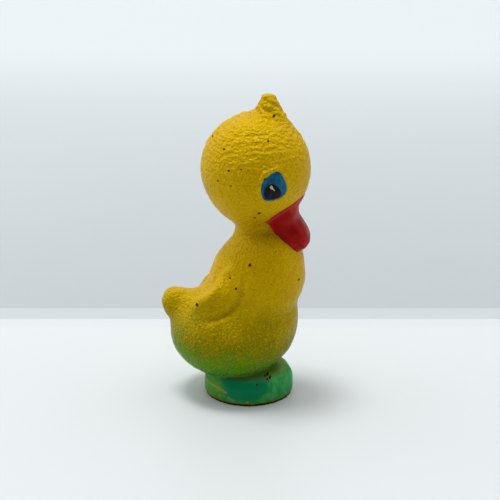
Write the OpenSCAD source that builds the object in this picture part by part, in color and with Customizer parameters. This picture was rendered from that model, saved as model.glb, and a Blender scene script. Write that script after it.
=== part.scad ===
// Hollow moulded rubber squeak toy: a duckling that stands on a round plinth with its head bowed.
// Millimetres, +Z up. The duckling faces -Y, so its right side is -X, and the plane X = 0 is
// its plane of symmetry. The origin is on the floor, under the middle of its length.

/* [Body] */
// Half the width of the belly, from side to side
belly_half_width = 28.5; // [27:0.5:30]
// Half the depth of the belly, from front to back
belly_half_depth = 31.6; // [30.6:0.5:32.6]
// Height of the belly's middle above the floor
belly_z = 33; // [32:0.5:34]
// Half the width of the chest
chest_half_width = 23.5; // [22:0.5:25]
// Height of the chest's middle above the floor
chest_z = 61; // [60:0.5:62]
// Radius of the neck where it meets the head
neck_r = 12; // [10.8:0.4:13.2]
// Radius of the blunt end of the tail
tail_end_r = 7.8; // [6.8:0.5:8.8]
// Thickness of the rubber skin
wall = 2.8; // [2.2:0.2:2.8]

/* [Head] */
// Half the width of the head, from cheek to cheek
head_half_width = 26.5; // [25:0.5:28]
// Half the depth of the head, from front to back
head_half_depth = 26.4; // [25.4:0.5:27.4]
// Half the height of the head, without its tuft
head_half_height = 27; // [26:0.5:28]
// Height of the head's middle above the floor
head_z = 114.5; // [113.5:0.5:115.5]
// Half the width of the bill at its middle
bill_half_width = 13.8; // [12.8:0.5:14.8]
// Width of the blue of an eye
eye_width = 12; // [10:0.5:13]
// Height of the blue of an eye
eye_height = 14; // [12:0.5:15]

/* [Plinth] */
// Radius of the plinth
plinth_r = 21.9; // [20.4:0.5:22.4]
// Height of the plinth
plinth_h = 14; // [14:0.5:15]
// Radius of the plinth's rounded upper edge
plinth_edge_r = 7; // [5:0.5:8]
// Thickness of the plinth's floor
base_t = 4; // [3:0.5:5]

/* [Paint] */
// Thickness of a coat of paint
paint_t = 0.35; // [0.25:0.05:0.45]

/* [Squeaker] */
// Outer radius of the metal squeaker's cup
cup_r = 9; // [8:0.5:10]
// Height of the squeaker, from its flange to its lip
cup_h = 9; // [8:0.5:9]
// Thickness of the squeaker's sheet metal
sheet_t = 0.5; // [0.4:0.1:0.6]
// Length of the reed's free tongue
reed_l = 9; // [8:0.5:10]
// Width of the reed
reed_w = 3.4; // [3:0.2:4]
// Thickness of the reed
reed_t = 0.25; // [0.2:0.05:0.3]

/* [Hidden] */

// The plinth's axis stands this far in front of the origin. All the places below are from that
// axis: [0, 0, 0] is the centre of the plinth's underside.
plinth_ahead = 6.7;

// The lumps that the body is blended from: [centre, half sizes, lean]. A lean in degrees turns a
// lump about X. A limb is [one end, radius there, other end, radius there].
belly = [[0, 7.7, belly_z], [belly_half_width, belly_half_depth, 24], -5];
chest = [[0, -4.8, chest_z], [chest_half_width, 23.2, 21.5], -8];
neck = [[0, -8.7, chest_z + 15], neck_r + 4.8, [0, -6.3, chest_z + 26], neck_r];
tail = [[0, 17.5, belly_z + 5], tail_end_r + 2.4, [0, 36.2, belly_z + 13], tail_end_r];
wing = [[17, 12, 54.6], [6.4, 18.5, 6.4], -41];
head = [[0, -3.5, head_z], [head_half_width, head_half_depth, head_half_height], 0];
jaw = [[0, -4, head_z - 13.5], [19, 17.5, 14.2], 0];
tuft_back = [[0, -9.3, head_z + 24.5], 7.6, [0, -9, head_z + 32.1], 3.8];
tuft_front = [[0, -9.6, head_z + 31], 3.7, [0, -14, head_z + 19.5], 5.2];

// How softly one lump flows into the next
belly_blend = 12.5;
neck_blend = 7.3;
tail_blend = 5;
wing_blend = 2;
jaw_blend = 6;
head_blend = 4;

// The bill: sections along its bent middle line, each [y, z, half width, half thickness]
bill_sections = [
    [-15.3, head_z - 15.3, bill_half_width + 3.4, 9.6],
    [-17, head_z - 21.9, bill_half_width + 1.8, 7.2],
    [-18.7, head_z - 26.2, bill_half_width, 6.4],
    [-21.9, head_z - 30.3, bill_half_width - 1.2, 5.9],
    [-25, head_z - 33.9, bill_half_width - 2.2, 5.2],
    [-26.8, head_z - 35.5, bill_half_width - 3.2, 4],
    [-27.9, head_z - 36.5, bill_half_width - 5.6, 2.5]
];
bill_squareness = 2.8;
bill_sides = 40;

// Where an eye sits on the head: how far round from the front, how far down, and how it tilts
eye_turn = 68;
eye_drop = 7;
eye_tilt = 14;
pupil_size = [8.6, 7.6];
pupil_shift = [-1, -2.7];
glint_size = [1.1, 4];
glint_shift = [-0.8, -0.6];
glint_tilt = 30;
eye_depth = 12;

// Size of the cells that the outer and the inner surface are found in
outer_cell = 4;
inner_cell = 6;
settle_step = 0.05;
body_low = [-36, -36, 4];
body_high = [36, 48, 154];
round_fn = 72;

// The paint on the plinth stops above a line of bare rubber
bare_line_h = 1.2;

// The opening from the plinth up into the belly, behind the crease under the belly's front
throat_r = 11;
throat_behind = 3;

// The squeaker stands in a socket through the plinth's floor
slip = 0.06;
flange_w = 1.5;
flange_z = 2;
lip_w = 1;
collar_wall = 3;
block_size = [7, 11, 2];
block_slot = [2.4, 7];
block_gap = 0.05;
vent_r = 1.1;
inlet_r = 1.6;
cup_floor_z = flange_z + sheet_t;
lid_z = flange_z + cup_h - 2*sheet_t - slip;
block_z = cup_floor_z;
reed_gap = 0.3;
reed_z = block_z + block_size.z + reed_gap;
hinge_y = reed_l/2;
clamp_size = [7, 1.2, 0.8];
rivet_r = 0.45;
rivet_head_r = 0.75;
rivet_head_h = 0.35;
rivet_x = reed_w/2 + 0.25 + rivet_r;
metal_fn = 64;

// ---- Blended surface: a field is below 0 inside the shape and above 0 outside it ----

function leant(p, a) = [p.x, p.y*cos(a) + p.z*sin(a), p.z*cos(a) - p.y*sin(a)];

function over(p, r) = [p.x/r.x, p.y/r.y, p.z/r.z];

// Distance from an ellipsoid, true near its surface
function egg(p, lump) =
    let (q = over(leant(p - lump[0], lump[2]), lump[1]), near = norm(over(q, lump[1])))
    near == 0 ? -min(lump[1]) : norm(q)*(norm(q) - 1)/near;

// Distance from a limb with round ends, thicker at one end than at the other
function limb_from(p, l) =
    let (along = l[2] - l[0], t = max(0, min(1, (p - l[0])*along/(along*along))))
    norm(p - l[0] - t*along) - l[1] - t*(l[3] - l[1]);

// The lesser of two distances, rounded over where they are within k of each other
function blend(a, b, k) =
    let (h = max(k - abs(a - b), 0)/k)
    min(a, b) - h*h*k/4;

function trunk(p) =
    let (
        q = [abs(p.x), p.y, p.z],
        round_body = blend(egg(p, belly), egg(p, chest), belly_blend),
        with_neck = blend(round_body, limb_from(p, neck), neck_blend),
        with_tail = blend(with_neck, limb_from(p, tail), tail_blend)
    )
    blend(with_tail, egg(q, wing), wing_blend);

function whole_head(p) =
    let (
        tuft = blend(limb_from(p, tuft_back), limb_from(p, tuft_front), head_blend),
        skull = blend(egg(p, head), egg(p, jaw), jaw_blend)
    )
    blend(skull, tuft, head_blend);

function skin_field(p) = blend(trunk(p), whole_head(p), head_blend);

// ---- Closed surface of a field, as one point in each cell that the surface passes through ----

CORNERS = [for (i = [0, 1]) for (j = [0, 1]) for (k = [0, 1]) [i, j, k]];
STEPS = [[settle_step, 0, 0], [0, settle_step, 0], [0, 0, settle_step]];
EDGES = [for (a = [0:7]) for (b = [a + 1:7]) if (norm(CORNERS[a] - CORNERS[b]) == 1) [a, b]];

function mean(points) = [for (i = [0:2]) [for (p = points) 1]*[for (p = points) p[i]]/len(points)];

function cell_values(v, i, j, k) = [for (c = CORNERS) v[i + c.x][j + c.y][k + c.z]];

function is_cut(v) = min(v) < 0 && max(v) >= 0;

function cuts(v) = [
    for (e = EDGES)
        let (a = v[e[0]], b = v[e[1]])
        if ((a < 0) != (b < 0)) CORNERS[e[0]] + a/(a - b)*(CORNERS[e[1]] - CORNERS[e[0]])
];

// A point moved along the field's slope onto the surface
function settled(field, p) =
    let (
        here = field(p),
        slope = [for (step = STEPS) (field(p + step) - here)/settle_step]
    )
    p - here/(slope*slope)*slope;

// The two triangles between four cells, seen from outside, turned over where the inside is ahead
function quad(a, b, c, d, turned) = turned ? [[a, b, c], [a, c, d]] : [[c, b, a], [d, c, a]];

module surface_of(field, low, high, cell) {
    n = [for (i = [0:2]) ceil((high[i] - low[i])/cell)];
    v = [
        for (i = [0:n.x]) [for (j = [0:n.y]) [for (k = [0:n.z]) field(low + cell*[i, j, k])]]
    ];
    cells = [
        for (i = [0:n.x - 1]) for (j = [0:n.y - 1]) for (k = [0:n.z - 1])
            let (c = cell_values(v, i, j, k))
            is_cut(c) ? settled(field, low + cell*([i, j, k] + mean(cuts(c)))) : undef
    ];
    count = len(cells);
    place = [for (m = 0, at = 0; m < count; at = at + (is_undef(cells[m]) ? 0 : 1), m = m + 1) at];
    points = [for (c = cells) if (!is_undef(c)) c];
    id = function (i, j, k) place[(i*n.y + j)*n.z + k];
    changes = function (a, b) (a < 0) != (b < 0);
    faces = [
        for (i = [0:n.x - 1]) for (j = [1:n.y - 1]) for (k = [1:n.z - 1])
            let (a = v[i][j][k])
            if (changes(a, v[i + 1][j][k]))
                each quad(id(i, j - 1, k - 1), id(i, j, k - 1), id(i, j, k), id(i, j - 1, k), a >= 0),
        for (i = [1:n.x - 1]) for (j = [0:n.y - 1]) for (k = [1:n.z - 1])
            let (a = v[i][j][k])
            if (changes(a, v[i][j + 1][k]))
                each quad(id(i - 1, j, k - 1), id(i - 1, j, k), id(i, j, k), id(i, j, k - 1), a >= 0),
        for (i = [1:n.x - 1]) for (j = [1:n.y - 1]) for (k = [0:n.z - 1])
            let (a = v[i][j][k])
            if (changes(a, v[i][j][k + 1]))
                each quad(id(i - 1, j - 1, k), id(i, j - 1, k), id(i, j, k), id(i - 1, j, k), a >= 0)
    ];
    polyhedron(points, faces);
}

// ---- Shapes that the sub-parts share ----

// A closed skin over rings that all have the same number of points
module loft(rings) {
    sides = len(rings[0]);
    last = len(rings) - 1;
    walls = [
        for (r = [0:last - 1]) for (i = [0:sides - 1])
            let (j = (i + 1) % sides, a = r*sides, b = a + sides)
            each [[a + i, b + i, a + j], [a + j, b + i, b + j]]
    ];
    ends = [[for (i = [0:sides - 1]) i], [for (i = [sides - 1:-1:0]) last*sides + i]];
    polyhedron([for (ring = rings) each ring], concat(walls, ends));
}

// A signed power, which squares off an ellipse
function squared_off(c) = sign(c)*pow(abs(c), 2/bill_squareness);

// The bill, grown on all sides by a coat
module bill_shape(coat) {
    last = len(bill_sections) - 1;
    loft([
        for (s = [0:last])
            let (
                here = bill_sections[s],
                ahead = bill_sections[min(s + 1, last)] - bill_sections[max(s - 1, 0)],
                along = [ahead[0], ahead[1]]/norm([ahead[0], ahead[1]]),
                shift = s == last ? coat : 0
            )
            [
                for (i = [0:bill_sides - 1])
                    let (
                        a = 360*i/bill_sides,
                        x = (here[2] + coat)*squared_off(cos(a)),
                        t = (here[3] + coat)*squared_off(sin(a))
                    )
                    [x, here[0] + t*along[1] + shift*along[0], here[1] - t*along[0] + shift*along[1]]
            ]
    ]);
}

// The plinth's round solid, grown by a coat and standing from z = low
module plinth_shape(coat, low) {
    r = plinth_r + coat;
    edge = plinth_edge_r + coat;
    top = plinth_h + coat;
    rotate_extrude($fn = round_fn)
        polygon([
            [0, low],
            [r, low],
            for (a = [0:15:90]) [r - edge + edge*cos(a), top - edge + edge*sin(a)],
            [0, top]
        ]);
}

// The whole outside of the toy as one solid, before it is hollowed
module outer_solid() {
    surface_of(function (p) skin_field(p), body_low, body_high, outer_cell);
    plinth_shape(0, 0);
    bill_shape(0);
}

// The air inside the toy
module air_space() {
    intersection() {
        union() {
            surface_of(function (p) skin_field(p) + wall, body_low, body_high, inner_cell);
            plinth_shape(-wall, 0);
            translate([0, throat_behind, 0])
                cylinder(r = throat_r, h = belly_z, $fn = round_fn);
        }
        translate([-body_high.x, -body_high.y, base_t])
            cube([2*body_high.x, 2*body_high.y, body_high.z]);
    }
}

// Moves a sub-part from the plinth's axis to the toy's own frame
module placed() {
    translate([0, -plinth_ahead, 0])
        children();
}

// Keeps the booleans inside it on one mesh
module one_mesh() {
    resize([0, 0, 0])
        children();
}

// The head's egg, grown by a coat
module head_egg(coat) {
    translate(head[0])
        scale(head[1] + [coat, coat, coat])
            sphere(r = 1, $fn = round_fn);
}

// A post with an oval section, from inside the head out through the place of an eye
module eye_post(side, size, shift, tilt) {
    translate(head[0])
        rotate([0, 0, side*eye_turn - 90])
            rotate([0, 90 + eye_drop, 0])
                rotate([0, 0, -side*eye_tilt])
                    translate([-shift.y, side*shift.x, head_half_width - eye_depth])
                        rotate([0, 0, side*tilt])
                            scale([size.y/2, size.x/2, 1])
                                cylinder(r = 1, h = 2*eye_depth, $fn = round_fn/2);
}

// A layer of an eye: a patch of the head's egg grown by so many coats
module eye_layer(side, layer, size, shift, tilt) {
    intersection() {
        head_egg(layer*paint_t);
        eye_post(side, size, shift, tilt);
    }
}

module blue_layer(side) eye_layer(side, 1, [eye_width, eye_height], [0, 0], 0);

module pupil_layer(side) eye_layer(side, 2, pupil_size, pupil_shift, 0);

module glint_layer(side) eye_layer(side, 3, glint_size, glint_shift, glint_tilt);

// ---- Sub-parts ----

module rubber_skin() {
    socket_r = cup_r + slip;
    socket_top = flange_z + cup_h;
    color("gold") placed()
        one_mesh()
            difference() {
                outer_solid();
                difference() {
                    air_space();
                    cylinder(r = socket_r + collar_wall, h = socket_top, $fn = round_fn);
                }
                translate([0, 0, -1])
                    cylinder(r = socket_r, h = socket_top + 2, $fn = round_fn);
                translate([0, 0, -1])
                    cylinder(r = socket_r + flange_w, h = 1 + cup_floor_z + slip, $fn = round_fn);
            }
}

module plinth_paint() {
    color("seagreen") placed()
        one_mesh()
            difference() {
                plinth_shape(paint_t, bare_line_h);
                outer_solid();
            }
}

module bill_paint() {
    color("firebrick") placed()
        one_mesh()
            difference() {
                bill_shape(paint_t);
                outer_solid();
            }
}

module eye_blue(side) {
    color("steelblue") placed()
        one_mesh()
            difference() {
                blue_layer(side);
                outer_solid();
            }
}

module pupil(side) {
    color("black") placed()
        one_mesh()
            difference() {
                pupil_layer(side);
                blue_layer(side);
                outer_solid();
            }
}

module eye_glint(side) {
    color("ivory") placed()
        one_mesh()
            difference() {
                glint_layer(side);
                pupil_layer(side);
                blue_layer(side);
                outer_solid();
            }
}

// A drawn cup with a flange at its foot, a vent in its floor and a lip turned in over the lid
module squeaker_cup() {
    top = flange_z + cup_h;
    color("goldenrod") placed()
        rotate_extrude($fn = metal_fn)
            polygon([
                [vent_r, flange_z],
                [cup_r + flange_w - slip, flange_z],
                [cup_r + flange_w - slip, cup_floor_z],
                [cup_r, cup_floor_z],
                [cup_r, top],
                [cup_r - lip_w, top],
                [cup_r - lip_w, top - sheet_t],
                [cup_r - sheet_t, top - sheet_t],
                [cup_r - sheet_t, cup_floor_z],
                [vent_r, cup_floor_z]
            ]);
}

module squeaker_lid() {
    color("gold") placed()
        translate([0, 0, lid_z])
            difference() {
                cylinder(r = cup_r - sheet_t - slip, h = sheet_t, $fn = metal_fn);
                translate([0, 0, -1])
                    cylinder(r = inlet_r, h = sheet_t + 2, $fn = metal_fn);
            }
}

// The brass block that the reed beats on, with a slot over the vent
module reed_block() {
    color("darkgoldenrod") placed()
        difference() {
            translate([-block_size.x/2, -block_size.y/2, block_z])
                cube(block_size);
            translate([-block_slot.x/2, -block_slot.y/2, block_z - 1])
                cube([block_slot.x, block_slot.y, block_size.z + 2]);
            for (x = [-rivet_x, rivet_x])
                translate([x, hinge_y, block_z - 1])
                    cylinder(r = rivet_r + slip, h = block_size.z + 2, $fn = metal_fn);
        }
}

module reed() {
    root = clamp_size.y/2 + block_gap;
    color("khaki") placed()
        translate([-reed_w/2, hinge_y - reed_l, reed_z])
            cube([reed_w, reed_l + root, reed_t]);
}

// A bar across the reed's root
module reed_clamp() {
    color("peru") placed()
        difference() {
            translate([-clamp_size.x/2, hinge_y - clamp_size.y/2, reed_z + reed_t + block_gap])
                cube(clamp_size);
            for (x = [-rivet_x, rivet_x])
                translate([x, hinge_y, reed_z])
                    cylinder(r = rivet_r + slip, h = 2*clamp_size.z + 1, $fn = metal_fn);
        }
}

module reed_rivets() {
    low = block_z + slip;
    high = reed_z + reed_t + block_gap + clamp_size.z;
    color("dimgray") placed()
        for (x = [-rivet_x, rivet_x])
            translate([x, hinge_y, low]) {
                cylinder(r = rivet_r, h = high - low + rivet_head_h, $fn = metal_fn);
                translate([0, 0, high - low])
                    cylinder(r = rivet_head_r, h = rivet_head_h, $fn = metal_fn);
            }
}

rubber_skin();
plinth_paint();
bill_paint();
eye_blue(-1);  // eye_blue_right
eye_blue(1);  // eye_blue_left
pupil(-1);  // pupil_right
pupil(1);  // pupil_left
eye_glint(-1);  // eye_glint_right
eye_glint(1);  // eye_glint_left
squeaker_cup();
squeaker_lid();
reed_block();
reed();
reed_clamp();
reed_rivets();
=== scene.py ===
"""Looks of the rubber duckling: a cast and painted skin, its coats of paint, and the squeaker.

The skin is rebuilt from the CAD skin as one fine surface and then sculpted. Each coat of paint is a
patch of that surface, raised and closed. Mesh work is in millimetres from the plinth's axis, on the
floor; the duckling faces -Y, and its right side is -X.
"""

import itertools
import math

import bmesh
import bpy
import numpy as np
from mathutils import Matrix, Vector
from mathutils.bvhtree import BVHTree


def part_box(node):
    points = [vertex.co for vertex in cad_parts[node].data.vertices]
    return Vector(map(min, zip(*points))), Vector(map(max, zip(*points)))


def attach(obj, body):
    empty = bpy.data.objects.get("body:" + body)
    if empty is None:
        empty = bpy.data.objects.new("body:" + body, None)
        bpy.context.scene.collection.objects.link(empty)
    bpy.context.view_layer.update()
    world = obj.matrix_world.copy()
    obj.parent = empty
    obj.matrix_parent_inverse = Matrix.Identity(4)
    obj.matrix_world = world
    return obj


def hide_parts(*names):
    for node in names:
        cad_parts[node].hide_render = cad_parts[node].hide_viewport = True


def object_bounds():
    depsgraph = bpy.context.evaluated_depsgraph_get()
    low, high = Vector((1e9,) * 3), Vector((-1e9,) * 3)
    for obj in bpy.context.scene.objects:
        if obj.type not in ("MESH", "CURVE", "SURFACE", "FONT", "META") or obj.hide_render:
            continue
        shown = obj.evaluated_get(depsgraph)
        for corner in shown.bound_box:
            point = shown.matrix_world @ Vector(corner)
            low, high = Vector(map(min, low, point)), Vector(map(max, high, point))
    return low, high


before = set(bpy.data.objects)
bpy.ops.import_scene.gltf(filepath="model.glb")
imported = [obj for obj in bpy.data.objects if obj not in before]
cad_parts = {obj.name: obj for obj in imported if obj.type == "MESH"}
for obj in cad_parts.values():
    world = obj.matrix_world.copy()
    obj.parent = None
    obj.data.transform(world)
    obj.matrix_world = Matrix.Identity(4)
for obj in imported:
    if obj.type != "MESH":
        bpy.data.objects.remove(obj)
cad_box = [list(corner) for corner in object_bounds()]

MM = 0.001
AHEAD = np.array([0.0, -1.0, 0.0])


def node_box(name):
    """A node's lowest and highest corner, in millimetres in the frame"""
    return [np.array(corner)/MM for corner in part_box(name)]


plinth_low, plinth_high = node_box("plinth_paint")
cup_low, cup_high = node_box("squeaker_cup")
AXIS = np.array([*(plinth_low + plinth_high)[:2]/2, 0])
PLINTH_R = (plinth_high[0] - plinth_low[0])/2
PLINTH_H = plinth_high[2]
TOP = node_box("rubber_skin")[1][2]
BARE_H = plinth_low[2]
SOCKET_R = (cup_high[0] - cup_low[0])/2 + 0.3
SOCKET_H = cup_high[2]

# Millimetres across a cell that the skin is rebuilt in, rounds of smoothing, and a coat's thickness
CELL = 0.7
SMOOTHING_ROUNDS = 130
COAT = 0.35


# ---- Surfaces as arrays ----

class Surface:
    """Points in millimetres from the plinth's axis, and faces of three or four corners"""

    def __init__(self, points, faces):
        self.points = np.asarray(points, float)
        self.faces = np.asarray(faces, int)

    def edges(self):
        """Each pair of points that an edge joins, once"""
        pairs = np.stack([self.faces, np.roll(self.faces, -1, 1)], 2).reshape(-1, 2)
        return np.unique(np.sort(pairs, 1), axis=0)

    def normals(self):
        """Direction outwards at each point"""
        corners = self.points[self.faces]
        spans = np.cross(corners[:, 2] - corners[:, 0], corners[:, -1] - corners[:, 1])
        if self.faces.shape[1] == 3:
            spans = np.cross(corners[:, 1] - corners[:, 0], corners[:, 2] - corners[:, 0])
        total = spread(self.faces, spans, len(self.points))
        return total/np.maximum(np.linalg.norm(total, axis=1), 1e-12)[:, None]

    def smoothed(self, rounds, weight=1.0, give=0.5, take=0.5128):
        """Points after rounds of smoothing that keep the volume"""
        edges = self.edges()
        count = len(self.points)
        degree = np.bincount(edges.ravel(), minlength=count)[:, None]
        weight = np.broadcast_to(weight, count)[:, None]
        points = self.points.copy()
        for factor in (give, -take)*rounds:
            total = np.stack([
                np.bincount(edges[:, 0], points[edges[:, 1], k], count)
                + np.bincount(edges[:, 1], points[edges[:, 0], k], count)
                for k in range(3)
            ], 1)
            points += factor*weight*(total/degree - points)
        return points

    def spread_out(self, values, rounds):
        """Values at the points, averaged with their neighbours' for some rounds"""
        edges = self.edges()
        count = len(self.points)
        degree = np.bincount(edges.ravel(), minlength=count)
        for _ in range(rounds):
            total = np.bincount(edges[:, 0], values[edges[:, 1]], count)
            total += np.bincount(edges[:, 1], values[edges[:, 0]], count)
            values = (values + total/degree)/2
        return values


def spread(faces, values, count):
    """Sum at each point of the values of the faces round it"""
    corners = faces.shape[1]
    return np.stack([
        np.bincount(faces.ravel(), np.repeat(values[:, k], corners), count) for k in range(3)
    ], 1)


def rise(x, low, high):
    """0 below low, 1 above high, and smooth between them"""
    t = np.clip((x - low)/(high - low), 0, 1)
    return t*t*(3 - 2*t)


def hump(distance, half_width):
    """1 at no distance, and 0 from half_width on"""
    return 1 - rise(distance, 0, half_width)


def waves(points, size, seed):
    """Smooth random values from -1 to 1 that change over size millimetres"""
    table = np.random.default_rng(seed).uniform(-1, 1, (32, 32, 32))
    cell = np.floor(points/size).astype(int)
    t = points/size - cell
    t = t*t*(3 - 2*t)
    total = np.zeros(len(points))
    for corner in np.ndindex(2, 2, 2):
        share = np.prod(np.where(corner, t, 1 - t), axis=1)
        total += share*table[tuple(((cell + corner) % 32).T)]
    return total


def pebbles(points, size, seed):
    """Distance to the nearest of scattered centres that are size millimetres apart, as a share of it"""
    jitter = np.random.default_rng(seed).uniform(0, 1, (16, 16, 16, 3))
    cell = np.floor(points/size).astype(int)
    nearest = np.full(len(points), 9.0)
    for step in itertools.product((-1, 0, 1), repeat=3):
        at = cell + step
        centre = at + jitter[tuple((at % 16).T)]
        nearest = np.minimum(nearest, np.linalg.norm(points/size - centre, axis=1))
    return nearest


def curve_through(corners, steps=8):
    """Points along a smooth curve through the corners"""
    corners = np.array(corners, float)
    padded = np.vstack([2*corners[0] - corners[1], corners, 2*corners[-1] - corners[-2]])
    made = []
    for a, b, c, d in zip(padded, padded[1:], padded[2:], padded[3:]):
        for t in np.arange(steps)/steps:
            made.append((2*b + (c - a)*t + (2*a - 5*b + 4*c - d)*t**2 + (3*b - a - 3*c + d)*t**3)/2)
    return np.array(made + [corners[-1]])


def closed_curve(corners, steps=5):
    """Points once round a smooth outline through the corners"""
    return curve_through([*corners[-2:], *corners, *corners[:2]], steps)[2*steps:-steps]


def from_curve(points, curve):
    """Distance of each point from a curve, and how far along the curve it is, from 0 to 1"""
    nearest = np.full(len(points), 1e9)
    along = np.zeros(len(points))
    last = len(curve) - 1
    for i, (a, b) in enumerate(zip(curve, curve[1:])):
        t = np.clip((points - a) @ (b - a)/((b - a) @ (b - a)), 0, 1)
        distance = np.linalg.norm(points - a - t[:, None]*(b - a), axis=1)
        along = np.where(distance < nearest, (i + t)/last, along)
        nearest = np.minimum(nearest, distance)
    return nearest, along


# ---- Blender meshes to arrays and back ----

def mesh_of(name, points, faces):
    """A mesh in metres in the frame"""
    mesh = bpy.data.meshes.new(name)
    mesh.from_pydata(((np.asarray(points) + AXIS)*MM).tolist(), [], np.asarray(faces).tolist())
    return mesh


def surface_of(mesh, corners):
    """The points and faces of a mesh in metres whose faces all have that many corners"""
    points = np.empty(len(mesh.vertices)*3)
    mesh.vertices.foreach_get("co", points)
    faces = np.empty(len(mesh.loops), int)
    mesh.loops.foreach_get("vertex_index", faces)
    return Surface(points.reshape(-1, 3)/MM - AXIS, faces.reshape(-1, corners))


def object_of(name, mesh):
    """A new object in the scene that holds a mesh"""
    made = bpy.data.objects.new(name, mesh)
    bpy.context.scene.collection.objects.link(made)
    return made


def with_modifier(mesh, kind, **settings):
    """The mesh that a modifier makes of a mesh"""
    holder = object_of("holder", mesh)
    modifier = holder.modifiers.new("change", kind)
    for key, value in settings.items():
        setattr(modifier, key, value)
    graph = bpy.context.evaluated_depsgraph_get()
    made = bpy.data.meshes.new_from_object(holder.evaluated_get(graph))
    bpy.data.objects.remove(holder)
    return made


def finished(name, mesh, material, body, *, stands_for):
    """A piece of the toy, in place of a CAD node"""
    mesh.name = name
    mesh.shade_smooth()
    mesh.materials.clear()
    mesh.materials.append(material)
    piece = object_of(name, mesh)
    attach(piece, body)
    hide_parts(stands_for)
    return piece


# ---- The CAD skin, taken apart ----

def walls_and_cavity():
    """Two closed meshes from the CAD skin: its outside, and all the air that its inside and socket hold"""
    source = bmesh.new()
    source.from_mesh(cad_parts["rubber_skin"].data)
    bmesh.ops.remove_doubles(source, verts=source.verts, dist=0.001*MM)
    axis = Vector(AXIS*MM)

    def in_socket(face):
        centre = face.calc_center_median() - axis
        return centre.xy.length < SOCKET_R*MM and 0.01*MM < centre.z < (SOCKET_H - 0.01)*MM

    socket = {f for f in source.faces if in_socket(f)}
    start = max(source.verts, key=lambda v: v.co.z).link_faces[0]
    outside = {start}
    waiting = [start]
    while waiting:
        for edge in waiting.pop().edges:
            for face in edge.link_faces:
                if face not in outside and face not in socket:
                    outside.add(face)
                    waiting.append(face)
    picked = [f in outside for f in source.faces]
    made = []
    for wanted in (True, False):
        part = source.copy()
        part.faces.ensure_lookup_table()
        extra = [f for f, is_outside in zip(part.faces, picked) if is_outside != wanted]
        bmesh.ops.delete(part, geom=extra, context="FACES")
        rim = [e for e in part.edges if e.is_boundary]
        if not wanted:
            lowered = bmesh.ops.extrude_edge_only(part, edges=rim)["geom"]
            for corner in (g for g in lowered if isinstance(g, bmesh.types.BMVert)):
                corner.co.z -= 2*MM
            rim = [g for g in lowered if isinstance(g, bmesh.types.BMEdge) and g.is_boundary]
        bmesh.ops.contextual_create(part, geom=rim)
        bmesh.ops.triangulate(part, faces=part.faces)
        bmesh.ops.recalc_face_normals(part, faces=part.faces)
        mesh = bpy.data.meshes.new("part")
        part.to_mesh(mesh)
        part.free()
        made.append(mesh)
    source.free()
    return made


# ---- The eyes ----

class Eye:
    """One eye's own axes on the head: u towards the front and v up, in millimetres from its middle"""

    def __init__(self, side, surface):
        low, high = node_box(f"eye_blue_{side}")
        self.middle = (low + high)/2 - AXIS
        nearest = np.argsort(np.linalg.norm(surface.points - self.middle, axis=1))[:60]
        out = surface.normals()[nearest].mean(0)
        self.out = out/np.linalg.norm(out)
        tilt = math.radians(EYE_TILT)
        level = AHEAD - (AHEAD @ self.out)*self.out
        level /= np.linalg.norm(level)
        raised = np.cross(self.out, level)
        raised *= np.sign(raised[2])
        self.u = math.cos(tilt)*level + math.sin(tilt)*raised
        self.v = math.cos(tilt)*raised - math.sin(tilt)*level
        self.size = (high - low)[2]/EYE_HEIGHT

    def flat(self, points):
        """u, v and the distance outwards of points"""
        away = (points - self.middle)/self.size
        return away @ self.u, away @ self.v, away @ self.out


# Height of a CAD eye at which the outlines below are true to size, and degrees its front is tilted up
EYE_HEIGHT = 14.0
EYE_TILT = 8


def outside_of(outline, u, v):
    """Distance outside a closed outline, and less than 0 inside it"""
    distance, _ = from_curve(np.stack([u, v], 1), outline)
    inside = np.zeros(len(u), bool)
    for (u0, v0), (u1, v1) in zip(outline, outline[1:]):
        if u0 != u1 or v0 != v1:
            crossed = (v0 > v) != (v1 > v)
            inside ^= crossed & (u - u0 < (v - v0)*(u1 - u0)/(v1 - v0 + (v1 == v0)))
    return np.where(inside, -distance, distance)


BLUE_OUTLINE = closed_curve([
    (-6.3, -0.6), (-5.2, 2.4), (-2.9, 4.2), (-1, 5.3), (0.6, 6.1), (2.6, 6.3), (4, 5.2), (5, 3.2),
    (6.1, -0.2), (6.3, -3.2), (5.2, -5.4), (2.6, -6.9), (-1.6, -7.3), (-4.2, -6.8), (-5.8, -4.8)
])
PUPIL_OUTLINE = closed_curve([
    (-5, -2.3), (-3.9, -0.3), (-2, 0.8), (0.1, 0.7), (1.9, -1), (3.1, -3.4), (3.1, -5.1), (2.1, -6.2),
    (0.2, -6.6), (-2.2, -6.6), (-4, -5.8), (-4.9, -4.2)
])


def blue_edge(u, v):
    """The blue is a lopsided dome that leans to the front"""
    return outside_of(BLUE_OUTLINE, u, v)


def pupil_edge(u, v):
    """The pupil is a lower dome, low in the blue"""
    return outside_of(PUPIL_OUTLINE, u, v)


def glint_edge(u, v):
    """The glint is a drop with its thin tail towards the lower front"""
    along = np.clip(((u + 1.35)*0.61 - (v + 0.4)*0.79)/2.2, 0, 1)
    middle_u, middle_v = -1.35 + 1.34*along, -0.4 - 1.74*along
    return np.hypot(u - middle_u, v - middle_v) - 0.18 - 0.57*(1 - along)**2


# ---- Sculpting ----

def mirrored(points):
    """Points of both sides, all on the left side"""
    return points*[0, 1, 1] + np.abs(points)*[1, 0, 0]


# A wing's ridge, and the groove under the wing, seen from the side: [y, z]
WING_TOP = [(3, 71), (8.5, 67.5), (12.5, 62.5), (14.5, 58), (19.5, 54.5), (24.5, 50.5), (28, 45)]
WING_UNDER = [(-1.5, 68), (1, 62), (2.4, 57), (4.8, 52), (7.6, 49), (12, 46.6), (17, 44.7), (24, 43)]


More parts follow.
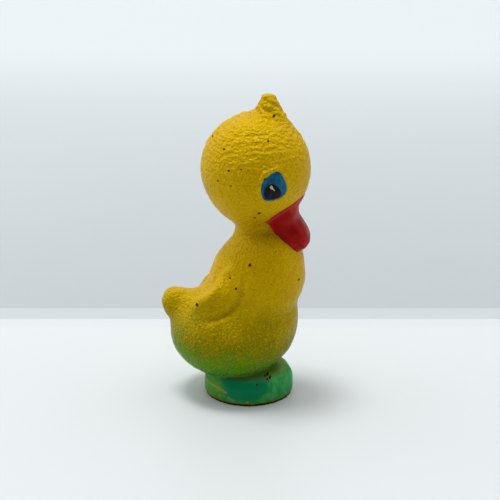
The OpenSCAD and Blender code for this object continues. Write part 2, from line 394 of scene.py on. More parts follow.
def wing_relief(p):
    """A ridge along the top of each wing, and a groove with a thin lip under it"""
    side = rise(np.abs(p[:, 0]), 11, 16)
    flat = p[:, 1:]
    ridge, along = from_curve(flat, curve_through(WING_TOP))
    relief = 1.4*hump(ridge, 2.9)*rise(along, 0, 0.25)*(1 - rise(along, 0.85, 1))
    above, _ = from_curve(flat, curve_through(np.array(WING_TOP) + [2.6, 2.8]))
    relief -= 0.8*hump(above, 2.8)*rise(along, 0, 0.25)*(1 - rise(along, 0.85, 1))
    groove, along = from_curve(flat, curve_through(WING_UNDER))
    fade = rise(along, 0, 0.2)*(1 - rise(along, 0.75, 1))
    lip, _ = from_curve(flat, curve_through(np.array(WING_UNDER) + [1.5, 1.5]))
    return side*(relief + fade*(0.55*hump(lip, 1.9) - 0.9*hump(groove, 2.2)))


def eye_relief(p, eyes):
    """A lid over the back and top of each eye, a hollow inside it, a thin rim and a bed for the blue"""
    total = 0
    for eye in eyes:
        u, v, out = eye.flat(p)
        near = np.abs(out) < 6
        edge = blue_edge(u, v)
        away = np.hypot(u - 0.2, v - 0.5)
        turn = np.degrees(np.arctan2(v - 0.5, u - 0.2)) % 360
        lidded = rise(turn, 62, 92)*(1 - rise(turn, 160, 205))
        lid = 1.25*hump(np.abs(away - 6.9), 1.15)*lidded
        bed = hump(np.maximum(edge + 1, 0), 1.2)
        gap = 0.6*lidded*(1 - rise(away, 4.9, 6.0))
        total = total + near*(lid + 0.3*hump(np.abs(edge - 0.8), 0.9) - 0.35*bed - gap)
    return total


def bill_relief(p, on_bill):
    """The bill's dished sides, the lip round its tip and a little unevenness"""
    x, y, z = p.T
    side = rise(np.abs(x), 4, 9)
    dish = hump(np.hypot((y + 21)/7.5, (z - 89)/6.5), 1)
    lip = hump(np.abs(z - 80.3 - 0.3*(y + 30)), 1.7)*rise(-y, 25, 27)
    return on_bill*(-0.9*side*dish + 0.35*lip + 0.12*waves(p, 5, 21))


def tuft_relief(p):
    """Strands that run down the tuft to the front, and a hollow at its root"""
    x, y, z = p.T
    on_tuft = rise(z, TOP - 12, TOP - 9)*(1 - rise(z, TOP - 2.5, TOP - 0.5))
    side = rise(np.abs(x), 0.5, 2.5)
    strand = np.sin((0.53*y - 0.85*z + 0.8*waves(p, 4, 31))*2*math.pi/3.3)
    hollow = hump(np.linalg.norm((mirrored(p) - [4.5, -9.5, TOP - 7])/[3, 4, 2.4], axis=1), 1)
    return on_tuft*side*0.38*strand - 0.8*hollow


# Middle of the tail's round end
TAIL_END = (0, 36.2, 46)


def tail_relief(p):
    """The tail's blunt end, a flat that faces back and a little down"""
    facing = np.array([0, 0.943, -0.333])
    away = p - TAIL_END
    return -0.95*np.maximum(away @ facing - 6.2, 0)*(np.linalg.norm(away, axis=1) < 11)


def waist_relief(p):
    """The fold in front between the breast and the belly, and the bulge under it"""
    x, y, z = p.T
    front = rise(-y, 8, 20)
    fold = hump(np.abs(z - 49 + 0.25*np.abs(x)), 6)
    bulge = hump(np.abs(z - 39), 8)
    return front*(0.6*bulge - 0.7*fold)


def seam_relief(p):
    """The line where the two halves of the mould met"""
    x, y, z = p.T
    return 0.14*hump(np.abs(x + 0.3*waves(p, 9, 41)), 0.9)*(1 - rise(-y, 15, 20)*rise(z, 70, 76))


# The seam across the back of the plinth, from near its middle round to the right side: [x, y, z]
PLINTH_SEAM = [(-4, 21.5, 9.5), (-9, 19.3, 8.6), (-13.5, 16, 8), (-16.5, 13, 7.5), (-18.6, 10, 6.4)]


def plinth_relief(p):
    """Dents round the plinth, a smooth flat on each side of it and a seam across its back"""
    x, y, z = p.T
    low = 1 - rise(z, PLINTH_H - 1, PLINTH_H + 3)
    outer = rise(np.hypot(x, y), PLINTH_R - 8, PLINTH_R - 3)
    dents = 0.25*waves(p*[1, 1, 0.5], 6, 51) + 0.08*waves(p, 2.2, 52)
    flat = hump(np.hypot(y/12, (z - 8)/6.5), 1)*(np.abs(x) > 12)
    seam, along = from_curve(p, curve_through(PLINTH_SEAM))
    ridge = 0.7*hump(seam, 1.5)*(1 - rise(along, 0.8, 1))
    return low*outer*(dents*(1 - flat) - 0.25*flat + ridge)*rise(z, 0.2, 2)


def cast_relief(p, on_bill):
    """Slow unevenness everywhere, pebbles all over the yellow, and ripples on the head"""
    z = p[:, 2]
    calm = rise(z, PLINTH_H, PLINTH_H + 6)*(1 - on_bill)
    rough = 0.55 + 0.45*rise(z, 70, 100)
    grain = 0.55 - pebbles(p + 0.8*waves(p, 3, 61)[:, None], 3.1, 62)
    ripple = rise(z, 108, 122)*waves(p*[0.45, 0.45, 1.3], 1.9, 63)
    slow = 0.2*waves(p, 11, 64) + 0.12*waves(p, 5.5, 65)
    return slow*rise(z, 2, 6) + calm*rough*(0.16*grain + 0.2*ripple)


# Millimetres of the bill's tip that are flattened away underneath
BILL_CUT = 1.2


def sculpted(surface, on_bill):
    """The points moved out or in by every relief, with the bill's tip cut off flat underneath"""
    p = surface.points
    eyes = [Eye(side, surface) for side in ("right", "left")]
    height = cast_relief(p, on_bill)*(p[:, 2] > 0.2)
    height += wing_relief(p) + eye_relief(p, eyes) + bill_relief(p, on_bill)
    height += tuft_relief(p) + tail_relief(p) + waist_relief(p) + plinth_relief(p)
    height += seam_relief(p)*rise(p[:, 2], 1, 3)
    made = p + surface.normals()*height[:, None]
    tip = made[(on_bill > 0.5) & (p[:, 1] < -22), 2].min() + BILL_CUT
    level = np.minimum(tip, p[:, 2] + BILL_CUT)
    made[:, 2] = np.where(on_bill > 0.2, np.maximum(made[:, 2], level), made[:, 2])
    return made


# ---- Coats of paint ----

def near_node(surface, name, reach):
    """Distance of each point from a CAD node, up to reach"""
    node = surface_of(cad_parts[name].data, 3)
    tree = BVHTree.FromPolygons(node.points.tolist(), node.faces.tolist())
    distance = np.full(len(surface.points), float(reach))
    low, high = node.points.min(0) - reach, node.points.max(0) + reach
    for i in np.flatnonzero(((surface.points > low) & (surface.points < high)).all(1)):
        distance[i] = min(tree.find_nearest(surface.points[i])[3], reach)
    return distance


def halved(points, triangles):
    """Each triangle cut into four"""
    sides = np.sort(np.stack([triangles, np.roll(triangles, -1, 1)], 2).reshape(-1, 2), 1)
    pairs, which = np.unique(sides, axis=0, return_inverse=True)
    middle = which.reshape(-1, 3) + len(points)
    a, b, c = triangles.T
    ab, bc, ca = middle.T
    parts = [(a, ab, ca), (ab, b, bc), (ca, bc, c), (ab, bc, ca)]
    return np.vstack([points, points[pairs].mean(1)]), np.vstack([np.stack(t, 1) for t in parts])


def used_only(points, triangles):
    """The points that triangles use, and the triangles renumbered to them"""
    kept, renumbered = np.unique(triangles, return_inverse=True)
    return points[kept], renumbered.reshape(-1, 3)


def clipped(points, triangles, field):
    """The part of a surface where field is below 0, cut along the line where it is 0"""
    values = field(points)
    values[np.abs(values) < 1e-3] = -1e-3
    points = list(points)
    made = []
    cut_at = {}

    def cut(i, j):
        key = (min(i, j), max(i, j))
        if key not in cut_at:
            t = values[i]/(values[i] - values[j])
            cut_at[key] = len(points)
            points.append(points[i] + t*(points[j] - points[i]))
        return cut_at[key]

    for corners in triangles.tolist():
        inside = [values[c] < 0 for c in corners]
        if all(inside):
            made.append(corners)
        elif any(inside):
            odd = inside.index(sum(inside) == 1)
            a, b, c = corners[odd:] + corners[:odd]
            ab, ca = cut(a, b), cut(c, a)
            if inside[odd]:
                made.append([a, ab, ca])
            else:
                made += [[ab, b, c], [ab, c, ca]]
    return used_only(np.array(points), np.array(made))


def rim_of(triangles):
    """The directed edges that only one triangle has"""
    sides = np.stack([triangles, np.roll(triangles, -1, 1)], 2).reshape(-1, 2)
    back = {(b, a) for a, b in sides.tolist()}
    return [(a, b) for a, b in sides.tolist() if (a, b) not in back]


def coat_mesh(name, surface, values, field, thick, *, levels=1, edge=0.8, sunk=0.12, base=0.0, reach=2.0):
    """A coat of paint on the part of a surface where field is below 0.

    values holds one number for each of the surface's points, or is None where all are 0. field gets
    points and their numbers. base is the height of the coats underneath.
    """
    triangles = surface.faces
    if triangles.shape[1] == 4:
        triangles = np.vstack([triangles[:, [0, 1, 2]], triangles[:, [0, 2, 3]]])
    carried = np.hstack([surface.points, surface.normals(), np.zeros((len(surface.points), 1))])
    if values is not None:
        carried[:, 6] = values
    near = field(carried[:, :3], carried[:, 6]) < reach
    carried, triangles = used_only(carried, triangles[near[triangles].any(1)])
    for _ in range(levels):
        carried, triangles = halved(carried, triangles)
    carried, triangles = clipped(carried, triangles, lambda c: field(c[:, :3], c[:, 6]))
    points = carried[:, :3]
    normals = carried[:, 3:6]/np.linalg.norm(carried[:, 3:6], axis=1)[:, None]
    depth = np.maximum(-field(points, carried[:, 6]), 0)
    lift = base + thick*np.sqrt(np.clip(1 - (1 - np.clip(depth/edge, 0, 1))**2, 0, 1))
    rim = rim_of(triangles)
    count = len(points)
    faces = [*triangles.tolist(), *(triangles[:, ::-1] + count).tolist()]
    for a, b in rim:
        faces += [[b, a, a + count], [b, a + count, b + count]]
    top = points + normals*lift[:, None]
    return mesh_of(name, np.vstack([top, points - sunk*normals]), faces)


# ---- Materials ----

# Spots count distance across the toy at this share, so that they still meet the sculpted surface
FLATTEN = 0.25


class Paint:
    """A material whose textures are measured in millimetres of the frame"""

    def __init__(self, name, **settings):
        self.material = bpy.data.materials.new(name)
        self.material.use_nodes = True
        self.nodes = self.material.node_tree.nodes
        self.links = self.material.node_tree.links
        self.shader = self.nodes["Principled BSDF"]
        for socket, value in settings.items():
            self.shader.inputs[socket.replace("_", " ")].default_value = value
        place = self.nodes.new("ShaderNodeTexCoord").outputs["Object"]
        self.place = self.vector("MULTIPLY", place, (1/MM,)*3)
        self.from_axis = self.vector("SUBTRACT", self.place, tuple(AXIS))
        split = self.nodes.new("ShaderNodeSeparateXYZ")
        self.links.new(self.from_axis, split.inputs[0])
        self.x, self.y, self.z = split.outputs

    def put(self, socket, value):
        """Set a socket to a value, or link another node's socket to it"""
        if isinstance(value, bpy.types.NodeSocket):
            self.links.new(value, socket)
        else:
            socket.default_value = value

    def vector(self, operation, a, b):
        node = self.nodes.new("ShaderNodeVectorMath")
        node.operation = operation
        self.put(node.inputs[0], a)
        self.put(node.inputs[1], b)
        return node.outputs["Value" if operation in ("DISTANCE", "DOT_PRODUCT") else "Vector"]

    def math(self, operation, a, b=0.0):
        node = self.nodes.new("ShaderNodeMath")
        node.operation = operation
        self.put(node.inputs[0], a)
        self.put(node.inputs[1], b)
        return node.outputs[0]

    def noise(self, size, detail=2.0, stretch=(1, 1, 1), shift=0.0):
        """Random values about 0.5 that change over size millimetres"""
        node = self.nodes.new("ShaderNodeTexNoise")
        moved = self.vector("ADD", self.place, (shift, 2*shift, -shift)) if shift else self.place
        moved = self.vector("MULTIPLY", moved, stretch) if stretch != (1, 1, 1) else moved
        self.put(node.inputs["Vector"], moved)
        node.inputs["Scale"].default_value = 1/size
        node.inputs["Detail"].default_value = detail
        return node.outputs[0]

    def cells(self, size, warp=0.0):
        """Distance to the nearest of random centres size millimetres apart"""
        node = self.nodes.new("ShaderNodeTexVoronoi")
        place = self.place
        if warp:
            wobble = self.nodes.new("ShaderNodeTexNoise")
            self.put(wobble.inputs["Vector"], self.place)
            wobble.inputs["Scale"].default_value = 1.2/size
            place = self.vector("ADD", place, self.vector("MULTIPLY", wobble.outputs["Color"], (warp,)*3))
        self.put(node.inputs["Vector"], place)
        node.inputs["Scale"].default_value = 1/size
        return node.outputs["Distance"]

    def rise(self, value, low, high, top=1.0):
        """0 up to low, top from high on, and smooth between them"""
        node = self.nodes.new("ShaderNodeMapRange")
        node.interpolation_type = "SMOOTHSTEP"
        self.put(node.inputs[0], value)
        for socket, number in zip(node.inputs[1:5], (low, high, 0.0, top)):
            socket.default_value = number
        return node.outputs[0]

    def fall(self, value, low, high, top=1.0):
        """Top up to low, 0 from high on, and smooth between them"""
        return self.math("SUBTRACT", top, self.rise(value, low, high, top))

    def times(self, *factors):
        product = factors[0]
        for factor in factors[1:]:
            product = self.math("MULTIPLY", product, factor)
        return product

    def most(self, *values):
        greatest = values[0]
        for value in values[1:]:
            greatest = self.math("MAXIMUM", greatest, value)
        return greatest

    def mix(self, factor, a, b):
        node = self.nodes.new("ShaderNodeMix")
        node.data_type = "RGBA"
        self.put(node.inputs[0], factor)
        self.put(node.inputs[6], a)
        self.put(node.inputs[7], b)
        return node.outputs[2]

    def specks(self, size, radius, share, shift):
        """Small uneven spots, on a share of random centres size millimetres apart"""
        chosen = self.nodes.new("ShaderNodeTexVoronoi")
        moved = self.vector("ADD", self.place, (shift, -shift, 3*shift))
        self.put(chosen.inputs["Vector"], moved)
        chosen.inputs["Scale"].default_value = 1/size
        draw = self.nodes.new("ShaderNodeSeparateColor")
        self.links.new(chosen.outputs["Color"], draw.inputs[0])
        uneven = self.math("ADD", chosen.outputs["Distance"], self.times(self.noise(0.5, 2), 0.12))
        spot = self.fall(uneven, 0.06 + 0.7*radius/size, 0.06 + 1.2*radius/size)
        return self.times(spot, self.rise(draw.outputs[0], 1 - share, 1 - share + 0.01))

    def spots(self, places, ragged=0.6):
        """Uneven spots on the right side, at places from the plinth's axis: [x, y, z, radius]"""
        flattened = self.vector("MULTIPLY", self.from_axis, (FLATTEN, 1, 1))
        uneven = self.times(self.math("SUBTRACT", self.noise(0.7, 3, shift=5), 0.5), 2*ragged)
        found = 0.0
        for x, y, z, radius in places:
            away = self.vector("DISTANCE", flattened, (FLATTEN*x, y, z))
            found = self.most(found, self.fall(self.math("ADD", away, uneven), 0.75*radius, 1.1*radius))
        return found

    def bump(self, *layers):
        """Bumps the surface by layers of [height, depth in millimetres]"""
        normal = None
        for height, depth in layers:
            node = self.nodes.new("ShaderNodeBump")
            node.inputs["Strength"].default_value = 1.0
            node.inputs["Distance"].default_value = depth*MM
            self.put(node.inputs["Height"], height)
            if normal:
                self.links.new(normal, node.inputs["Normal"])
            normal = node.outputs[0]
        self.links.new(normal, self.shader.inputs["Normal"])

    def finish(self, colour, roughness):
        self.put(self.shader.inputs["Base Color"], colour)
        self.put(self.shader.inputs["Roughness"], roughness)
        return self.material


def rgb(red, green, blue):
    """A colour given in sRGB values up to 255"""
    def linear(value):
        value /= 255
        return value/12.92 if value < 0.04045 else ((value + 0.055)/1.055)**2.4
    return (linear(red), linear(green), linear(blue), 1.0)


YELLOW = rgb(212, 172, 0)
LIGHT_YELLOW = rgb(222, 184, 6)
OCHRE = rgb(186, 142, 0)
OLIVE = rgb(132, 124, 0)
LEAF = rgb(76, 150, 16)
TEAL = rgb(24, 138, 84)
GREEN = rgb(28, 146, 68)
DEEP_GREEN = rgb(0, 124, 70)
BARE = rgb(92, 46, 18)
ORANGE = rgb(200, 120, 30)
RED = rgb(184, 34, 24)
DEEP_RED = rgb(144, 10, 8)
PALE_RED = rgb(202, 66, 54)
BLUE = rgb(22, 104, 146)
DEEP_BLUE = rgb(10, 78, 110)
INK = rgb(14, 11, 18)
DUSTY_INK = rgb(34, 28, 36)
CREAM = rgb(214, 198, 150)

# Marks on the toy's right side: [x, y, z, radius]
PITS = [
    (-23.9, 7.4, 118, 0.6), (-25.6, 1.6, 119, 0.45), (-21, 12.6, 112.5, 0.5), (-24.4, 6.3, 111, 0.45),
    (-21.2, -6.4, 97.5, 0.75), (-19.6, -4.2, 95, 0.5), (-19.2, 9.9, 127, 0.5), (-9, 16.5, 131, 0.7),
    (-20, -10.3, 131, 0.6), (-7, -12.3, 140.5, 0.7), (-20, -2.1, 72, 0.8), (-21.5, 7.3, 65.4, 0.65),
    (-23.3, 4.3, 61, 0.65), (-10.4, -25, 62.5, 0.6), (-20.3, 23.3, 51.6, 0.9), (-25.2, -9.3, 114.5, 0.7)
]
BILL_CHIPS = [(-3, -27, 87, 0.8), (-3, -29.2, 82.5, 1.1), (-4, -27.6, 77.6, 1.0), (-11, -17.5, 83.5, 0.6)]
PLINTH_CHIPS = [
    (-12.5, -10.2, 13.6, 0.7), (-13.9, -11.4, 12.7, 0.75), (-15.1, -10.1, 12.4, 0.7),
    (-14.1, -9, 13.4, 0.6), (-15.4, -11, 11.6, 0.6), (-1.3, -16.6, 13.4, 0.8), (-5.4, -18.9, 11, 0.7),
    (-18.8, -5.5, 11, 0.7)
]
RUBBED = [(-20.9, -0.9, 1.9, 1.1), (-19.2, 8.3, 3.7, 0.7), (-16.3, 13, 3.7, 0.8), (-15, 14.7, 5.7, 0.8)]


def yellow_paint():
    """Old glossy yellow over pebbled rubber, with green sprayed up from the plinth"""
    paint = Paint("yellow_paint", Specular_IOR_Level=0.03, Metallic=0.07)
    peel = paint.fall(paint.cells(1.2, warp=0.5), 0.05, 0.75)
    ripple = paint.noise(2.0, 0, stretch=(0.6, 0.6, 1.5), shift=13)
    grain = paint.noise(0.6, 2)
    patch = paint.noise(14, 3)
    colour = paint.mix(paint.rise(patch, 0.42, 0.66, 0.55), YELLOW, LIGHT_YELLOW)
    colour = paint.mix(paint.fall(peel, 0.15, 0.6, 0.3), colour, OCHRE)
    colour = paint.mix(paint.rise(paint.noise(3.2, 4, shift=11), 0.52, 0.74, 0.35), colour, OCHRE)
    wavy = paint.times(paint.math("SUBTRACT", paint.noise(9, 4, shift=3), 0.5), 22)
    sprayed_by = paint.math("SUBTRACT", paint.math("ADD", paint.z, wavy), paint.times(paint.y, 0.1))
    fine = paint.rise(paint.noise(0.9, 3, shift=7), 0.15, 0.55)
    colour = paint.mix(paint.times(paint.fall(sprayed_by, 26, 66), fine), colour, OLIVE)
    spray = paint.times(paint.fall(sprayed_by, 17, 36), paint.rise(paint.noise(1.1, 4, shift=17), 0.25, 0.55))
    colour = paint.mix(paint.times(spray, 0.9), colour, LEAF)
    clouds = paint.rise(paint.noise(5, 3, shift=23), 0.48, 0.66, 0.6)
    colour = paint.mix(paint.times(paint.fall(sprayed_by, 12, 31), clouds), colour, TEAL)
    colour = paint.mix(paint.times(paint.fall(paint.z, 10, 17), 0.8), colour, DEEP_GREEN)
    # Painted shade: a darker brownish yellow on the front of the neck, under the head
    neck_shade = paint.fall(paint.math("ABSOLUTE", paint.math("SUBTRACT", paint.z, 89)), 2, 12, 0.55)
    colour = paint.mix(paint.times(neck_shade, paint.fall(paint.y, -8, 8)), colour, rgb(150, 112, 0))
    scattered_patches = paint.times(paint.specks(4, 0.7, 0.35, 9), paint.fall(sprayed_by, 18, 40, 0.7))
    colour = paint.mix(scattered_patches, colour, ORANGE)
    seam = paint.fall(paint.math("ABSOLUTE", paint.x), 0.2, 1.1)
    seam = paint.times(seam, paint.fall(paint.z, 30, 60, 0.6))
    patchy = paint.rise(paint.noise(2.5, 4, shift=61), 0.4, 0.62, 0.8)
    colour = paint.mix(paint.times(seam, patchy, paint.rise(paint.z, 14, 18)), colour, LIGHT_YELLOW)
    worn = paint.most(paint.specks(5.2, 0.3, 0.25, 31), paint.specks(13, 0.5, 0.2, 37))
    worn = paint.most(worn, paint.spots(PITS, 0.3))
    bare = paint.most(paint.times(worn, paint.rise(paint.z, 18, 24)), paint.fall(paint.z, 0.9, 1.5))
    colour = paint.mix(bare, colour, paint.mix(paint.noise(1.5, 3), BARE, rgb(58, 28, 12)))
    on_head = paint.rise(paint.z, 95, 122)
    paint.bump(
        (peel, 0.24), (paint.times(ripple, on_head), 0.8), (paint.noise(1.2, 0, shift=27), 0.4),
        (grain, 0.12), (paint.math("SUBTRACT", 1.0, bare), 0.2)
    )
    dull = paint.math("ADD", 0.18, paint.times(paint.noise(2.4, 3, shift=19), 0.18))
    return paint.finish(colour, paint.math("ADD", dull, paint.times(bare, 0.3)))


def green_paint():
    """Brushed green, darker and more teal in an oval on each side, chipped and worn along the foot"""
    paint = Paint("green_paint", Specular_IOR_Level=0.08, Metallic=0.1)
    brushed = paint.noise(2.4, 4, stretch=(1, 1, 0.35))
    colour = paint.mix(paint.rise(brushed, 0.4, 0.62), GREEN, rgb(64, 160, 84))
    colour = paint.mix(paint.rise(paint.noise(1.6, 4, shift=51), 0.5, 0.7, 0.35), colour, rgb(18, 110, 50))
    across = paint.math("DIVIDE", paint.math("SUBTRACT", paint.y, 0.5), 12.5)
    up = paint.math("DIVIDE", paint.math("SUBTRACT", paint.z, 9.3), 7.0)
    away = paint.math("ADD", paint.times(across, across), paint.times(up, up))
    side_oval = paint.fall(paint.math("ADD", away, paint.times(paint.noise(4, 3, shift=3), 0.5)), 0.95, 1.35)
    colour = paint.mix(side_oval, colour, paint.mix(paint.noise(7, 3, shift=8), DEEP_GREEN, rgb(0, 132, 92)))
    crease = paint.rise(paint.z, PLINTH_H - 3, PLINTH_H + 0.5, 0.8)
    colour = paint.mix(crease, colour, rgb(112, 128, 10))
    colour = paint.mix(paint.rise(paint.y, 8, 16, 0.6), colour, rgb(96, 146, 14))
    leafy = paint.rise(paint.noise(2.2, 4, shift=29), 0.45, 0.6, 0.6)
    colour = paint.mix(paint.times(leafy, paint.fall(paint.z, 1.5, 7)), colour, rgb(60, 120, 30))
    foot = paint.fall(paint.math("ADD", paint.z, paint.times(paint.noise(1.6, 4, shift=41), 1.6)), 2.2, 2.9)
    colour = paint.mix(paint.times(foot, 0.8), colour, rgb(120, 140, 20))
    flecks = paint.times(paint.specks(3.4, 0.5, 0.35, 43), paint.fall(paint.z, 3, 9))
    colour = paint.mix(flecks, colour, rgb(150, 140, 30))
    worn = paint.spots([*((*at, 0.9) for at in curve_through(PLINTH_SEAM, 3)), *RUBBED], 0.3)
    colour = paint.mix(paint.times(worn, 0.6), colour, rgb(180, 144, 20))
    chips = paint.most(paint.spots(PLINTH_CHIPS, 0.35), paint.specks(6, 0.4, 0.15, 47))
    colour = paint.mix(paint.rise(chips, 0.02, 0.3, 0.8), colour, rgb(150, 130, 60))
    colour = paint.mix(paint.rise(chips, 0.4, 0.7), colour, rgb(58, 28, 16))
    paint.bump((paint.fall(chips, 0, 0.6), 0.3), (brushed, 0.2), (paint.noise(0.8, 4), 0.1))
    dull = paint.math("ADD", 0.26, paint.times(paint.noise(2.4, 3, shift=19), 0.24))
    return paint.finish(colour, paint.math("ADD", dull, paint.times(chips, 0.3)))


def red_paint():
    """Brushed red, with painted shade darkening the middle of the dished sides and painted highlight making
    the ridge and the root paler
    """
    paint = Paint("red_paint", Specular_IOR_Level=0.06, Metallic=0.1)
    stroke = paint.noise(2.6, 4, stretch=(1, 0.5, 0.5), shift=2)
    colour = paint.mix(paint.rise(stroke, 0.35, 0.7), DEEP_RED, RED)
    across = paint.math("DIVIDE", paint.math("ADD", paint.y, 20.0), 7.0)
    up = paint.math("DIVIDE", paint.math("SUBTRACT", paint.z, 88.0), 7.0)
    away = paint.math("ADD", paint.times(across, across), paint.times(up, up))
    # Painted shade: the red is darker in the middle of each dished side
    colour = paint.mix(paint.rise(away, 0.5, 2.2), paint.mix(0.6, colour, DEEP_RED), colour)
    # Painted highlight: paler red in uneven patches towards the ridge and the edges, where the sides turn up
    # to the light
    scattered_patches = paint.times(paint.rise(paint.noise(1.4, 4, shift=6), 0.5, 0.68), paint.rise(away, 1.0, 2.4, 0.5))
    colour = paint.mix(scattered_patches, colour, PALE_RED)
    # Painted highlight: a paler line along the root, where the bill leaves the head
    ahead = paint.math("ADD", paint.y, 26.3)
    root = paint.math("ADD", paint.times(ahead, 0.33), paint.times(ahead, ahead, 0.0165))
    from_root = paint.math("ABSOLUTE", paint.math("ADD", paint.math("ADD", paint.z, root), -101.4))
    colour = paint.mix(paint.fall(from_root, 0.2, 1.3, 0.45), colour, PALE_RED)
    chips = paint.times(paint.specks(3.4, 0.4, 0.2, 53), paint.rise(away, 1.2, 2))
    chips = paint.most(paint.spots(BILL_CHIPS, 0.5), chips)
    colour = paint.mix(chips, colour, BARE)
    paint.bump((paint.fall(chips, 0, 0.6), 0.2), (stroke, 0.14), (paint.noise(0.9, 4), 0.07))
    return paint.finish(colour, paint.math("ADD", 0.28, paint.times(paint.noise(2, 3, shift=19), 0.25)))


def eye_paint(name, colour, other, size, shine):
    """A small patch laid on with a brush, its colour thinner in places"""
    paint = Paint(name, Specular_IOR_Level=0.1)
    stroke = paint.noise(size, 4, stretch=(1, 1, 0.6))
    mixed = paint.mix(paint.rise(stroke, 0.35, 0.68), colour, other)
    flecks = paint.specks(2.2, 0.14, 0.3, 59)
    mixed = paint.mix(paint.times(flecks, 0.5), mixed, OCHRE)
    paint.bump((stroke, 0.08), (paint.noise(0.5, 3), 0.05))
    return paint.finish(mixed, paint.math("ADD", shine, paint.times(paint.noise(1.2, 3, shift=9), 0.2)))


def metal(name, colour, tarnish, finish):
    """Metal with fine rolling marks and brown tarnish"""
    paint = Paint(name, Metallic=1.0)
    rolled = paint.noise(0.25, 3, stretch=(0.05, 1, 1))
    mixed = paint.mix(paint.rise(paint.noise(2.4, 4), 0.45, 0.7, 0.7), colour, tarnish)
    paint.bump((rolled, 0.01))
    return paint.finish(mixed, paint.math("ADD", finish, paint.times(rolled, 0.15)))


# ---- Pieces ----

def skin_surface():
    """The fine sculpted outside of the toy, how near each point is to the bill's paint, and the cavity"""
    outside, cavity = walls_and_cavity()
    fine = surface_of(with_modifier(outside, "REMESH", mode="VOXEL", voxel_size=CELL*MM), 4)
    free = rise(fine.points[:, 2], 1, 5)
    fine.points = fine.smoothed(SMOOTHING_ROUNDS, free)
    billed = fine.spread_out(near_node(fine, "bill_paint", 4), 4)
    on_bill = 1 - rise(billed, 0.5, 2)
    fine.points = sculpted(fine, on_bill)
    return fine, billed, cavity


# The bill's paint reaches down at least to this line under it, seen from the side: [y, z]
BILL_UNDER = [(-31, 73.5), (-25.5, 75.5), (-21, 79), (-17, 82.5), (-13.5, 86.5), (-9, 91.5)]


def bill_field(points, billed):
    """Below 0 on the bill: from the line where it leaves the head down to the breast"""
    x, y, z = points.T
    ahead = y + 26.3
    root = 102.6 - 0.33*ahead - 0.0165*ahead**2
    under = np.interp(y, *np.transpose(BILL_UNDER))
    wedge = np.maximum(0.75*(under - z), y + 7.5)
    return np.maximum(np.minimum((billed - 1.1)*1.2, wedge), 0.8*(z - root) + 0.15*waves(points, 2, 71))


def plinth_field(points, near_paint):
    """Below 0 on the plinth above its bare foot"""
    foot = BARE_H + 0.25*waves(points, 1.6, 72) + 0.15*waves(points, 0.7, 73)
    return np.maximum((near_paint - 1.2)*1.2, foot - points[:, 2])


def eye_field(eye, edge):
    """Field of a patch on one eye, from its edge in the eye's own axes"""
    def field(points, _):
        u, v, out = eye.flat(points)
        return np.where(np.abs(out) < 5, edge(u, v)*eye.size, 5.0)
    return field


def hollowed(surface, cavity):
    """The skin with its air space and the squeaker's socket cut out of it"""
    cutter = object_of("cutter", cavity)
    made = with_modifier(
        mesh_of("skin", surface.points, surface.faces), "BOOLEAN", operation="DIFFERENCE", object=cutter,
        solver="EXACT"
    )
    bpy.data.objects.remove(cutter)
    return made


def make_toy():
    surface, billed, cavity = skin_surface()
    finished(
        "duckling_skin", hollowed(surface, cavity), yellow_paint(), "toy",
        stands_for="rubber_skin"
    )
    finished(
        "bill_coat", coat_mesh("bill", surface, billed, bill_field, COAT), red_paint(), "toy",
        stands_for="bill_paint"
    )
    plinthed = surface.spread_out(near_node(surface, "plinth_paint", 4), 4)
    finished(
        "plinth_coat", coat_mesh("plinth", surface, plinthed, plinth_field, COAT), green_paint(),
        "toy", stands_for="plinth_paint"
    )
    blue = eye_paint("blue_eye_paint", BLUE, DEEP_BLUE, 2.4, 0.25)
    black = eye_paint("pupil_paint", INK, DUSTY_INK, 1.8, 0.2)
    cream = eye_paint("glint_paint", CREAM, rgb(180, 160, 110), 0.8, 0.3)
    layers = [
        ("eye_blue", blue_edge, "blue_paint", blue, 2),
        ("pupil", pupil_edge, "black_paint", black, 2),
        ("eye_glint", glint_edge, "cream_paint", cream, 3)
    ]
    for side in ("right", "left"):
        eye = Eye(side, surface)
        for depth, (name, edge, slot, material, levels) in enumerate(layers):
            mesh = coat_mesh(
                name, surface, None, eye_field(eye, edge), COAT, levels=levels, edge=0.5, base=0.9*depth*COAT
            )
            finished(
                f"{side}_{name}_coat", mesh, material, "toy", stands_for=f"{name}_{side}"
            )


def paint_squeaker():
    """Better materials on the CAD's metal pieces"""
    sheet = metal("stamped_brass", rgb(196, 158, 84), rgb(120, 84, 40), 0.28)
    cast = metal("cast_brass", rgb(184, 142, 70), rgb(104, 74, 38), 0.4)
    spring = metal("spring_brass", rgb(208, 172, 100), rgb(150, 110, 60), 0.22)
    steel = metal("rivet_steel", rgb(170, 170, 172), rgb(110, 96, 84), 0.35)
    for node, material in {
        "squeaker_cup": sheet, "squeaker_lid": sheet, "reed_block": cast, "reed_clamp": cast,
        "reed": spring, "reed_rivets": steel
    }.items():
        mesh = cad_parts[node].data
        mesh.materials.clear()
        mesh.materials.append(material)


# ---- Stage, light and camera ----

# Where the camera stands: degrees round the toy and up, and millimetres from the place it looks at
CAMERA_TURN = -86
CAMERA_RISE = 16.5
CAMERA_AWAY = 490
CAMERA_AIM = (0, -0.7, 73.5)
# Millimetres from the frame's middle to the table's far edge
TABLE_BEHIND = 100
# Place in metres that the lights are turned to
LIGHTS_AIM = (0, 0, 0.07)


def camera_back():
    """Direction from the toy to the camera"""
    turn, up = math.radians(CAMERA_TURN), math.radians(CAMERA_RISE)
    return Vector((math.sin(turn)*math.cos(up), -math.cos(turn)*math.cos(up), math.sin(up)))


def add_camera():
    camera = bpy.data.objects.new("camera", bpy.data.cameras.new("camera"))
    bpy.context.scene.collection.objects.link(camera)
    camera.data.lens = 72
    camera.data.sensor_width = 36
    camera.data.clip_start = 0.01
    aim = Vector((np.array(CAMERA_AIM) + AXIS)*MM)
    camera.location = aim + camera_back()*CAMERA_AWAY*MM
    camera.rotation_euler = camera_back().to_track_quat("Z", "Y").to_euler()
    bpy.context.scene.camera = camera


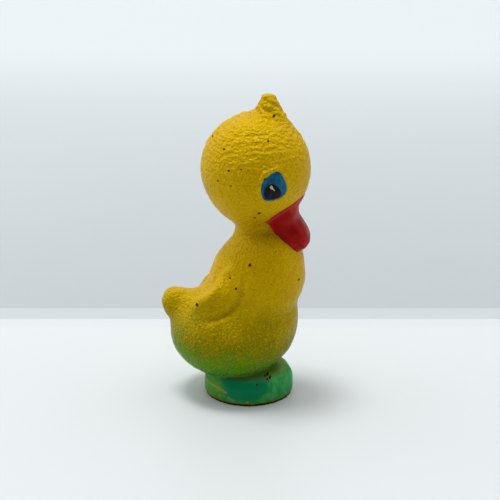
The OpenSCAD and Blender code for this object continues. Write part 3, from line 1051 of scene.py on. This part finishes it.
def stage_material(name, near, roughness, far=None, reach=(0, 1)):
    """Matt board, which may have another colour far behind the toy"""
    paint = Paint(name, Specular_IOR_Level=0.3)
    mottle = paint.times(paint.math("SUBTRACT", paint.noise(60, 2), 0.5), 0.04)
    shade = paint.math("ADD", paint.rise(paint.y, *reach), mottle)
    return paint.finish(paint.mix(shade, near, far or near), roughness)


def add_board(name, near, far, half_width, drop, material):
    """A level board across the camera's line of sight, from near to far behind the toy, in metres"""
    corners = [(-half_width, near), (half_width, near), (half_width, far), (-half_width, far)]
    mesh = bpy.data.meshes.new(name)
    mesh.from_pydata([(x, y, 0) for x, y in corners], [], [(0, 1, 2, 3)])
    mesh.materials.append(material)
    board = object_of(name, mesh)
    board.location.z = cad_box[0][2] - drop
    board.rotation_euler.z = math.radians(CAMERA_TURN)


def add_stage():
    """A pale table whose far edge is a little way behind the toy, on a pale ground"""
    edge = TABLE_BEHIND*MM
    strip_start = 0.86*edge
    foot_end = 1.2*edge
    pale = stage_material("table_board", rgb(201, 206, 208), 0.45)
    # Painted shade: the edge and foot boards are a little darker than the table, along its far edge
    strip = stage_material("edge_board", rgb(198, 204, 207), 0.5)
    shade = stage_material("shade_board", rgb(180, 187, 190), 0.5)
    # Painted light and shade: the ground is grey near the table and paler far behind it, as a lit backdrop
    # would look
    ground = stage_material(
        "ground_board", rgb(157, 164, 167), 0.6, far=rgb(210, 217, 220), reach=(-500, 2000)
    )
    add_board("table", -1.6, strip_start, 2.0, 0, pale)
    add_board("table_edge", strip_start, edge, 2.0, 0, strip)
    add_board("table_foot", edge, foot_end, 2.0, 0.0002, shade)
    add_board("ground", -40.0, 40.0, 40.0, 0.001, ground)


def add_light(name, kind, at, energy, **settings):
    """A light at a place in metres in the frame, turned to LIGHTS_AIM"""
    light = bpy.data.lights.new(name, kind)
    light.energy = energy
    for key, value in settings.items():
        setattr(light, key, value)
    holder = bpy.data.objects.new(name, light)
    bpy.context.scene.collection.objects.link(holder)
    holder.location = at
    holder.rotation_euler = (Vector(at) - Vector(LIGHTS_AIM)).to_track_quat("Z", "Y").to_euler()


def add_lights():
    """A broad sky and a lamp overhead, softer light at the tail's and the bill's side, and a dim room"""
    add_light("overhead", "SUN", (0.3, 0.1, 1), 2.4, angle=math.radians(120))
    add_light("lamp", "SUN", (0.05, 0.15, 1), 1.6, angle=math.radians(16))
    add_light("tail_side", "AREA", (0.15, 0.7, 0.25), 1.9, size=0.8)
    add_light("bill_side", "AREA", (0.12, -0.7, 0.2), 1.3, size=0.8)
    world = bpy.data.worlds.new("studio")
    world.use_nodes = True
    background = world.node_tree.nodes["Background"]
    background.inputs["Color"].default_value = (0.93, 0.97, 1.0, 1)
    background.inputs["Strength"].default_value = 0.09
    bpy.context.scene.world = world
    bpy.context.scene.view_settings.view_transform = "Standard"


make_toy()
paint_squeaker()
add_stage()
add_lights()
add_camera()
